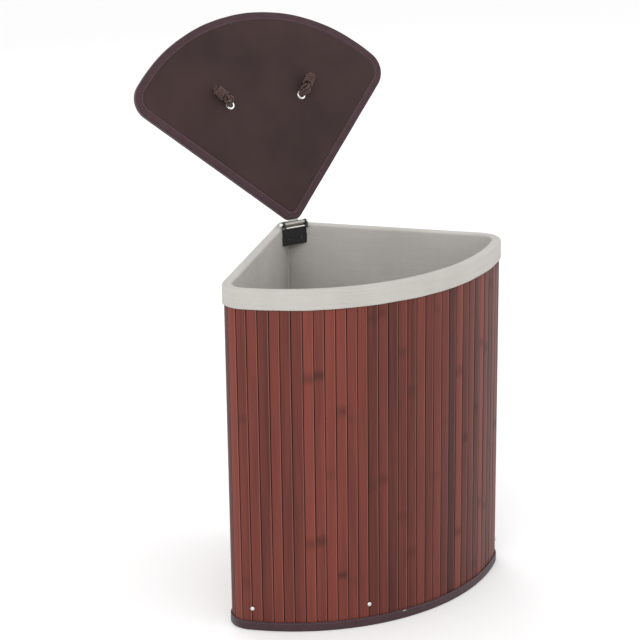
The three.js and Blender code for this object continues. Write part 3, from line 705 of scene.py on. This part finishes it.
def linerSection():
    # (offset, height) from the hem up, round the rim and down to the foot seam
    out, inn, r, top = liner["outside"], liner["inside"], liner["round"], rim - 0.55 * mm
    turn = np.linspace(0, pi / 2, 6)
    up = np.stack([np.full(13, out), np.linspace(liner["hem"], top - r, 13)], -1)
    first = np.stack([out - r + r * np.cos(turn), top - r + r * np.sin(turn)], -1)[1:]
    second = np.stack([inn + r - r * np.sin(turn), top - r + r * np.cos(turn)], -1)
    drop = (top - r - liner["foot"]) * np.linspace(0, 1, 71)[1:] ** 1.25
    down = np.stack([np.full(70, inn), top - r - drop], -1)
    return np.vstack([up, first, second, down])


section = linerSection()


def linerFolds(station, run):
    # outside: a hem ridge, a lapped seam and a faint wander; inside: soft vertical folds that grow
    # below the rim, deeper pleats at the two front corners, and drag lines that fade to the foot
    height = np.broadcast_to(section[None, :, 1], (station.shape[0], len(section)))
    insideLeg = np.broadcast_to(np.clip((run - 42 * mm) / (6 * mm), 0, 1), height.shape)
    outsideLeg = np.broadcast_to(np.clip(1 - run / (29 * mm), 0, 1), height.shape) ** 0.5 * (1 - insideLeg)
    hem = 0.35 * mm * np.exp(-((run - 1.2 * mm) / (1.6 * mm)) ** 2)
    hem = hem + 0.12 * mm * np.exp(-((run - 7 * mm) / (0.8 * mm)) ** 2)
    past = station - liner["seamAt"]
    lap = 0.3 * mm * np.clip(past / (0.7 * mm) + 0.5, 0, 1) * np.exp(-np.clip(past, 0, 1) / (9 * mm))
    outer = (hem + lap + 0.12 * mm * wander(station * 38, 21)) * outsideLeg
    drop = np.clip((rim - height) / 0.09, 0, 1)
    slack = np.clip((height - liner["foot"]) / 0.05, 0, 1)
    folds = 1.5 * mm * (1 + wander(station * 55 + height * 4, 22))
    folds = folds + 1.1 * mm * (1 + wander(station * 24 - height * 9, 23))
    gathered = 0
    for index, (at, size, wide) in enumerate(pleats):
        lean = at * body["cornerAt"] + 12 * mm * np.sin(height * 7 + index)
        gathered = gathered + size * mm * np.exp(-((station - lean) / (wide * mm)) ** 2)
    near = np.clip((rim - height) / (42 * mm), 0, 1)
    inner = -(folds * drop * slack * 0.8 + gathered * near * slack)
    outerShift = 0.35 * mm * wander(station * 30, 24) * np.clip(1 - run / (8 * mm), 0, 1)
    return outer + inner * insideLeg, outerShift


made = swept("liner_cloth", section, linerFolds, closed=False)
thicken(made, liner["thickness"])
finishPiece(made, linen, "body", ["liner_wall", "liner_cuff"])
stitchRow("cuff_hem_stitches", liner["stitch"], liner["outside"] + 0.62 * mm,
          liner["hem"] + 7.2 * mm, 2.4 * mm, 0.2 * mm, paleThread)


def clothDisc(outline, inset, height, change, rows=26):
    # rings of the outline drawn in towards the middle, so that the last one closes on a point
    station = outline["length"] * (2 * np.arange(360) / 360 - 1)
    x, y, _, _ = planAt(outline, station, -inset)
    middle = 0.6 * y.min()
    share = (1 - np.linspace(0, 1, rows) ** 1.1)[:, None]
    px, py = x[None] * share, middle + (y[None] - middle) * share
    pz = height + change(px, py, 1 - share)
    points = np.stack([px, py, np.broadcast_to(pz, px.shape)], -1)
    closing = np.concatenate([points, points[:, :1]], 1)
    return points, closing[..., :2]


def cutOf(line):
    # width, length and area of the flat cut inside a closed line of points (half the sum of cross products)
    x, y = line[:, 0], line[:, 1]
    crossed = x @ np.roll(y, -1) - y @ np.roll(x, -1)
    return (float(np.ptp(x)), float(np.ptp(y))), float(abs(crossed) / 2)


def floorFolds(x, y, depth):
    # shallow rumples: two crossing wanders, flat at the seam
    rumple = wander(x * 42 + y * 13, 31) * wander(y * 37 - x * 9, 32)
    return 0.5 * mm * (1 + rumple) * np.clip(depth * 8, 0, 1)


points, uv = clothDisc(body, liner["floorInset"], liner["floorAt"], floorFolds)
flatSize, flatArea = cutOf(points[0])
points[..., 1] += shiftY
made = surface("liner_base", points, uv, wrap=(False, True), weld=True)
thicken(made, liner["floorThickness"])
finishPiece(made, linen, "body", ["liner_floor"])
print("liner made")

# lid, built closed about the pin and turned open

lidSizes = {
    "under": -4.6 * mm, "top": 5.5 * mm, "tape": 1.0 * mm, "tapeWidth": 13.3 * mm, "round": 2.5 * mm,
    "core": 1.3 * mm, "stitch": 3.6 * mm, "stitchInset": 11.1 * mm, "liningAt": -4.0 * mm,
    "liningGap": 0.05 * mm, "liningThickness": 0.55 * mm, "slatTop": 4.15 * mm, "slatInset": 1.7 * mm,
    "slatCount": 28, "slatThickness": 2.1 * mm, "slatDepthPlay": 0.2 * mm,
}


def lidPoint(station, offset, height):
    # point beside the lid's outline with its height from the pin, turned open
    station, offset, height = np.broadcast_arrays(station, offset, height)
    x, y, _, _ = planAt(lid, station, offset)
    return openLid(np.stack([x, y, height], -1))


def openWay(direction):
    # a direction of the closed lid, turned open
    return openLid(direction) - hingePin


def lidTapeSection():
    under, top, width, wall, r = (lidSizes[k] for k in ("under", "top", "tapeWidth", "tape", "round"))
    core = lidSizes["core"]
    return rounded([
        (-width, under, 0.4 * mm), (-width / 2, under, 0), (0, under, r), (0, 0.5 * mm, 0), (0, top, r),
        (-width / 2, top, 0), (-width, top, 0.4 * mm), (-width, top - wall, 0.2 * mm),
        (-core, top - wall, 1.2 * mm), (-core, under + wall, 1.2 * mm), (-width, under + wall, 0.2 * mm),
    ], 0.4 * mm, 5)


def lidTapePucker(station, run):
    # cosine puckers along both sewn legs and a slow wander of the outer edge
    leg = np.exp(-((run - 2.2 * mm) / (2.2 * mm)) ** 2) - np.exp(-((run - 34.5 * mm) / (2.2 * mm)) ** 2)
    dent = 0.22 * mm * (0.5 + 0.5 * np.cos(station * 2 * pi / lidSizes["stitch"])) * leg
    return -0.15 * mm * (1 + wander(station * 50, 41)) * (run > 13 * mm) * (run < 22 * mm), dent


lidAround = lid["length"] * (2 * np.arange(520) / 520 - 1)
made = swept("lid_tape", lidTapeSection(), lidTapePucker, True, lidAround, lid, lidPoint)
finishPiece(made, tape, "lid", ["lid_binding"])


def lidStitches(name, height, up):
    # stitches along the tape's inner edge, on the underside or the outer side
    count = int(2 * lid["length"] / lidSizes["stitch"])
    station = lid["length"] * (2 * (np.arange(count) + 0.5) / count - 1)
    x, y, nx, ny = planAt(lid, station, -lidSizes["stitchInset"])
    flat = np.zeros(count)
    directions = openWay(np.stack([-ny, nx, flat], -1))
    normals = openWay(np.stack([flat, flat, flat + up], -1))
    points = openLid(np.stack([x, y, flat + height], -1))
    stitches(name, points, directions, normals, 2.7 * mm, 0.24 * mm, thread, "lid")


lidStitches("lid_stitches_under", lidSizes["under"] - 0.02 * mm, -1)
lidStitches("lid_stitches_outer", lidSizes["top"] + 0.02 * mm, 1)


def liningFolds(x, y, depth):
    # stretched cloth: a very shallow pillow and long faint pulls towards the hinge
    pull = wander(np.arctan2(x, -y + 0.02) * 14, 51) * np.clip(depth * 4, 0, 1)
    return -0.25 * mm * np.clip(depth * 10, 0, 1) - 0.16 * mm * pull


liningInset = lidSizes["tapeWidth"] + lidSizes["liningGap"]
points, uv = clothDisc(lid, liningInset, lidSizes["liningAt"], liningFolds, 40)
flatSize, flatArea = cutOf(points[0])
made = surface("lid_lining_cloth", openLid(points), uv, wrap=(False, True), weld=True)
thicken(made, lidSizes["liningThickness"])
finishPiece(made, lining, "lid", ["lid_lining"])


def lidSlatPanel():
    # strips from the straight backs' line to the front arc's line, both read off the outline
    rng = np.random.default_rng(14)
    count = lidSizes["slatCount"]
    table = lid["table"]
    edge = table[:, :2] - lidSizes["slatInset"] * table[:, 2:]
    widest = int(np.argmax(edge[:, 0]))
    front, back = edge[:widest + 1], edge[widest:][::-1]
    edges = np.linspace(-count / 2, count / 2, count + 1) * slats["pitch"]
    edges[1:-1] += rng.uniform(-1, 1, count - 1) * slats["widthPlay"]
    edges = np.clip(edges, -edge[widest, 0] + 1 * mm, edge[widest, 0] - 1 * mm)
    low, high = slatSides(edges)
    across, depth = slatSection()
    share = np.linspace(0, 1, 24)[None, :, None]
    x = (low + high) / 2 + (high - low) / 2 * across
    near, far = (np.interp(np.abs(x), line[:, 0], line[:, 1]) for line in (back, front))
    y = near * (1 - share) + far * share
    # only the face and edges sink by each slat's own amount, the flat backs stay in one plane
    face = depth < slats["thickness"]
    sunk = rng.uniform(0, 1, count)[:, None, None] * lidSizes["slatDepthPlay"] * face
    z = lidSizes["slatTop"] - np.minimum(depth, lidSizes["slatThickness"]) - sunk
    u = np.append(across, across[0]) * 0.5 + 0.5
    uv = np.stack(np.broadcast_arrays(u, np.concatenate([y, y[..., :1]], -1)), -1)
    points = openLid(np.stack(np.broadcast_arrays(x, y, z), -1))
    return surface("lid_slats_outer", points, uv, wrap=(False, True), capped=True, closed=True,
                   values=slatValues(rng, count))


finishPiece(lidSlatPanel(), bamboo, "lid", ["lid_slats"], sharp=40)
print("lid made")

# eyelets, knots and the rope handle

handle = {
    "eyeletX": 66 * mm, "eyeletY": -205 * mm, "axisLift": 10 * mm,
    "rope": 3.5 * mm, "drop": 50 * mm, "length": 190 * mm, "twist": 22 * mm,
    "stub": 3.3 * mm, "stubFrom": -5 * mm,
    "route": [[1, 0], [1, 0.16], [0.93, 0.48], [0.7, 0.8], [0.36, 0.96], [0, 1]],
}


def spinLoop(name, section, centre, axis, sides=48):
    # a closed (radius, distance) section turned about an axis that it doesn't touch
    first = np.cross(axis, [1.0, 0.0, 0.0])
    first = first / np.linalg.norm(first)
    second = np.cross(axis, first)
    angle = (np.arange(sides) * 2 * pi / sides)[:, None]
    ring = np.cos(angle) * first + np.sin(angle) * second
    points = centre + section[:, None, :1] * ring[None] + section[:, None, 1:] * axis
    run = np.concatenate([[0], np.cumsum(np.hypot(*np.diff(np.vstack([section, section[:1]]), axis=0).T))])
    uv = np.stack(np.meshgrid(np.arange(sides + 1) / sides * 2 * pi * section[:, 0].max(), run), -1)
    return surface(name, points, uv, wrap=(True, True), closed=True)


def tubes(name, paths, outward, radius, sides=9):
    # round tubes along several paths; outward is a vector at each point, not along the path
    tangent = np.gradient(paths, axis=1)
    tangent /= np.linalg.norm(tangent, axis=-1, keepdims=True)
    side = np.cross(tangent, outward)
    side /= np.linalg.norm(side, axis=-1, keepdims=True)
    normal = np.cross(side, tangent)
    angle = (np.arange(sides) * 2 * pi / sides)[:, None]
    radius = np.broadcast_to(radius, paths.shape[:2])[..., None, None]
    ring = np.cos(angle) * normal[:, :, None] + np.sin(angle) * side[:, :, None]
    grid = paths[:, :, None] + radius * ring
    run = np.linalg.norm(np.diff(paths, axis=1), axis=-1).cumsum(1)
    run = np.concatenate([np.zeros((len(paths), 1)), run], 1)[..., None]
    uv = np.stack(np.broadcast_arrays(np.arange(sides + 1) * radius.max() * 2 * pi / sides, run), -1)
    return surface(name, grid, uv, wrap=(False, True), capped=True, closed=True)


# lengths along the knot's centreline from the eyelet, and radii from that line
knots = {
    "start": -3 * mm, "bend": 12 * mm, "plunge": 11.5 * mm, "bendLoss": 5 * mm,
    "leanOut": 0.62, "leanForward": 0.78,
    "bulbFrom": 1 * mm, "bulbLength": 20 * mm, "bulbNeck": 1.9 * mm, "bulbSwell": 5.2 * mm,
    "bulbCord": 1.8 * mm,
    "coilFrom": 22 * mm, "coilLength": 17 * mm, "coilTurns": 2.4, "coilReach": 6.6 * mm,
    "coilCord": 1.75 * mm,
    "endsFrom": 35 * mm, "endsLength": 9 * mm, "endsNeck": 1.2 * mm, "endsSpread": 2.4 * mm,
    "endCord": 1.35 * mm,
}


def knotPaths(side):
    # a bulb of cords out of the eyelet, a coil wrapped round them and short loose ends, about a
    # centreline that turns from the eyelet's axis to lean outwards and forwards
    t = np.linspace(0, 1, 90)
    lean = np.array([side * knots["leanOut"], -knots["leanForward"], 0.0])
    lean /= np.linalg.norm(lean)
    deep = np.array([0.0, 0.0, -1.0])
    across = np.cross(lean, deep)
    origin = np.array([side * handle["eyeletX"], handle["eyeletY"], knots["start"]])

    def centre(s):
        # a quadratic bend, then straight along the lean
        bend = np.clip(s / knots["bend"], 0, 1)[..., None]
        plunge = knots["plunge"] * (1 - (1 - bend) ** 2)
        return origin + deep * plunge + lean * (s[..., None] - knots["bendLoss"] * bend)

    paths, outs, sizes = [], [], []

    def add(s, angle, reach, size):
        out = np.cos(angle)[..., None] * deep + np.sin(angle)[..., None] * across
        paths.append(centre(s) + reach[..., None] * out)
        outs.append(out + 0.01 * lean)
        sizes.append(size + 0 * t)

    for k in range(6):  # bulb
        swell = knots["bulbNeck"] + knots["bulbSwell"] * np.sin(pi * t) ** 0.7
        along = knots["bulbFrom"] + knots["bulbLength"] * t
        add(along, k * pi / 3 + 1.3 * t + 0.3 * k, swell, knots["bulbCord"])
    for k in range(2):  # coil, wound as two cords side by side
        turn = 2 * pi * knots["coilTurns"] * t + k * pi
        wide = knots["coilReach"] * np.clip(np.sin(pi * t) * 4, 0, 1) ** 0.5 + 0.6 * mm * np.sin(5 * turn / 3)
        along = knots["coilFrom"] + knots["coilLength"] * t + 2 * mm * np.cos(turn + 0.6)
        add(along, turn, wide, knots["coilCord"])
    for k in range(5):  # loose ends, of three spreads and two lengths, tapering
        spread = knots["endsNeck"] + (knots["endsSpread"] + 0.7 * mm * (k % 3)) * t ** 1.4
        along = knots["endsFrom"] + (knots["endsLength"] + 1.5 * mm * (k % 2)) * t
        add(along, k * 2 * pi / 5 + 0.9 * t, spread, knots["endCord"] - 0.45 * mm * t ** 4)
    return np.array(paths), np.array(outs), np.array(sizes)


# the eyelet's barrel through the lid with a flange on each side, and the plate under its lower flange
eyelets = {"bore": 4.0 * mm, "barrel": 4.9 * mm, "flange": 7.2 * mm, "lowerFlange": 6.4 * mm,
           "low": -6.3 * mm, "lowSeat": -5.45 * mm, "highSeat": 4.3 * mm, "high": 5.35 * mm}
bore, barrel, flange, lowerFlange = (eyelets[key] for key in ("bore", "barrel", "flange", "lowerFlange"))
low, lowSeat, highSeat, high = (eyelets[key] for key in ("low", "lowSeat", "highSeat", "high"))
grommet = rounded([
    (bore, low, 0.9 * mm), (lowerFlange, low, 0.5 * mm), (lowerFlange - 0.1 * mm, lowSeat, 0.25 * mm),
    (barrel, lowSeat, 0.1 * mm), (barrel, highSeat, 0.1 * mm), (flange, highSeat, 0.25 * mm),
    (flange - 0.1 * mm, high, 0.5 * mm), (bore, high, 0.9 * mm)], 0.3 * mm, 5)
hole, plateTop, plateUnder = 5.2 * mm, -4.55 * mm, -5.3 * mm
washer = rounded([(hole, plateTop), (hole, plateUnder), (flange, plateUnder), (flange, plateTop)],
                 0.3 * mm, 4)
up = openWay([0, 0, 1])
for side, sign in (("left", -1), ("right", 1)):
    eyelet = np.array([sign * handle["eyeletX"], handle["eyeletY"], 0])
    made = spinLoop("eyelet_ring_" + side, grommet, openLid(eyelet), up)
    finishPiece(made, steel, "lid", ["eyelet_" + side])
    made = spinLoop("eyelet_plate_" + side, washer, openLid(eyelet), up)
    finishPiece(made, steel, "lid", ["eyelet_washer_" + side])
    paths, outs, sizes = knotPaths(sign)
    made = tubes("knot_" + side, openLid(paths), openWay(outs), sizes)
    finishPiece(made, cordBrown, "lid", ["handle_knot_" + side])
    rise = np.linspace(0, 1, 14)
    stub = eyelet + np.outer(handle["stubFrom"] + (handle["axisLift"] - handle["stubFrom"]) * rise, [0, 0, 1])
    outward = openWay(np.broadcast_to([1.0, 0, 0], stub.shape))
    made = tubes("rope_stub_" + side, openLid(stub)[None], outward[None], handle["stub"], 20)
    finishPiece(made, cordBrown, "lid")


def smoothPath(points, count):
    # centripetal Catmull-Rom curve through the points, ends carried straight on
    points = np.vstack([2 * points[0] - points[1], points, 2 * points[-1] - points[-2]])
    place = np.linspace(0, len(points) - 3, count)
    index = np.minimum(place.astype(int), len(points) - 4)
    w = (place - index)[:, None]
    a, b, c, d = (points[index + k] for k in range(4))
    ab, bc, cd = (np.linalg.norm(q - p, axis=-1, keepdims=True) ** 0.5 for p, q in ((a, b), (b, c), (c, d)))
    leave = ((b - a) / ab - (c - a) / (ab + bc) + (c - b) / bc) * bc
    arrive = ((c - b) / bc - (d - b) / (bc + cd) + (d - c) / cd) * bc
    square, cube = 3 * (c - b) - 2 * leave - arrive, 2 * (b - c) + leave + arrive
    return b + leave * w + square * w ** 2 + cube * w ** 3


def ropeHandle():
    # the loop hangs straight down in the row frame; its section is three yarns that twist along it
    half = np.array([[-x * handle["eyeletX"], 0, -y * handle["drop"]] for x, y in handle["route"]])
    other = half[:-1][::-1] * [-1, 1, 1]
    start = openLid([0, handle["eyeletY"], handle["axisLift"]])
    path = smoothPath(np.vstack([half, other]), 150) + start
    tangent = np.gradient(path, axis=0)
    tangent /= np.linalg.norm(tangent, axis=-1, keepdims=True)
    side = np.array([0.0, 1.0, 0.0])
    normal = np.cross(side, tangent)
    run = np.concatenate([[0], np.cumsum(np.linalg.norm(np.diff(path, axis=0), axis=1))])
    angle = np.arange(36) * 2 * pi / 36
    twist = angle[None] - (run * 2 * pi / handle["twist"])[:, None]
    radius = handle["rope"] * (0.80 + 0.20 * np.abs(np.cos(1.5 * twist)) ** 0.7)
    ring = np.cos(angle)[None, :, None] * normal[:, None] + np.sin(angle)[None, :, None] * side
    grid = path[:, None] + radius[..., None] * ring
    uv = np.stack(np.broadcast_arrays(np.arange(37) * 2 * pi / 36 * handle["rope"], run[:, None]), -1)
    made = surface("rope_loop", grid, uv, wrap=(False, True), capped=True, closed=True)
    finishPiece(made, cordBrown, "handle", ["handle_rope"])


ropeHandle()
print("handle made")

# hinge and what stays as the frame has it

for node, width, material, bodyName, slot in (
        ("hinge_bracket", 0.35 * mm, blackSteel, "body", "black_steel"),
        ("hinge_leaf", 0.3 * mm, dullSteel, "lid", "steel"),
        ("hinge_pin", 0.5 * mm, steel, "body", "steel"),
        ("lid_stop_bar", 0.3 * mm, steel, "body", "steel"),
        ("hinge_rivet_left", 0.3 * mm, steel, "body", "steel"),
        ("hinge_rivet_right", 0.3 * mm, steel, "body", "steel")):
    finishPiece(softCopy(node, node + "_worn", width), material, bodyName, [node])

for node, material in (
        ("curtain_backing", backing), ("base_board", board), ("rim_hoop", board), ("rim_tape", tape),
        ("lid_board", board), ("leaf_rivet_left", steel), ("leaf_rivet_right", steel)):
    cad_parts[node].data.materials.clear()
    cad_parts[node].data.materials.append(material)
print("hinge made")

# floor, light

stage = {
    "world": 1.06, "floorColor": (0.90, 0.90, 0.90, 1), "floorHalf": 9, "floorAt": -0.5 * mm,
    # power, size, place and aim of each lamp
    "lamps": {
        "key": (52, 2.2, (-2.6, -2.4, 2.6), (0, -0.2, 0.45)),
        "fill": (20, 2.4, (2.6, -2.2, 1.8), (0, -0.2, 0.35)),
        "back": (16, 2.0, (0.6, 2.6, 2.4), (0, 0, 0.6)),
    },
}


def addStage():
    floor = Finish("floor_pale", Roughness=0.9, Specular_IOR_Level=0.1, Base_Color=stage["floorColor"])
    mesh, far = bpy.data.meshes.new("floor"), stage["floorHalf"]
    mesh.from_pydata([(-far, -far, 0), (far, -far, 0), (far, far, 0), (-far, far, 0)], [], [(0, 1, 2, 3)])
    plane = bpy.data.objects.new("floor", mesh)
    plane.location.z = stage["floorAt"]
    mesh.materials.append(floor.material)
    bpy.context.scene.collection.objects.link(plane)
    plane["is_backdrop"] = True
    world = bpy.data.worlds.new("studio")
    world.use_nodes = True
    sky = world.node_tree.nodes["Background"].inputs
    sky["Color"].default_value = (1, 1, 1, 1)
    sky["Strength"].default_value = stage["world"]
    bpy.context.scene.world = world
    for name, (power, size, place, aim) in stage["lamps"].items():
        data = bpy.data.lights.new(name, "AREA")
        data.energy, data.size = power, size
        lamp = bpy.data.objects.new(name, data)
        lamp.rotation_euler = (Vector(place) - Vector(aim)).to_track_quat("Z", "Y").to_euler()
        lamp.location = place
        bpy.context.scene.collection.objects.link(lamp)


addStage()
bpy.context.scene.view_settings.view_transform = "Standard"
print("stage made")

sizes = {"cad": [list(v) for v in cadBounds], "visual": [list(v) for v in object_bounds()]}
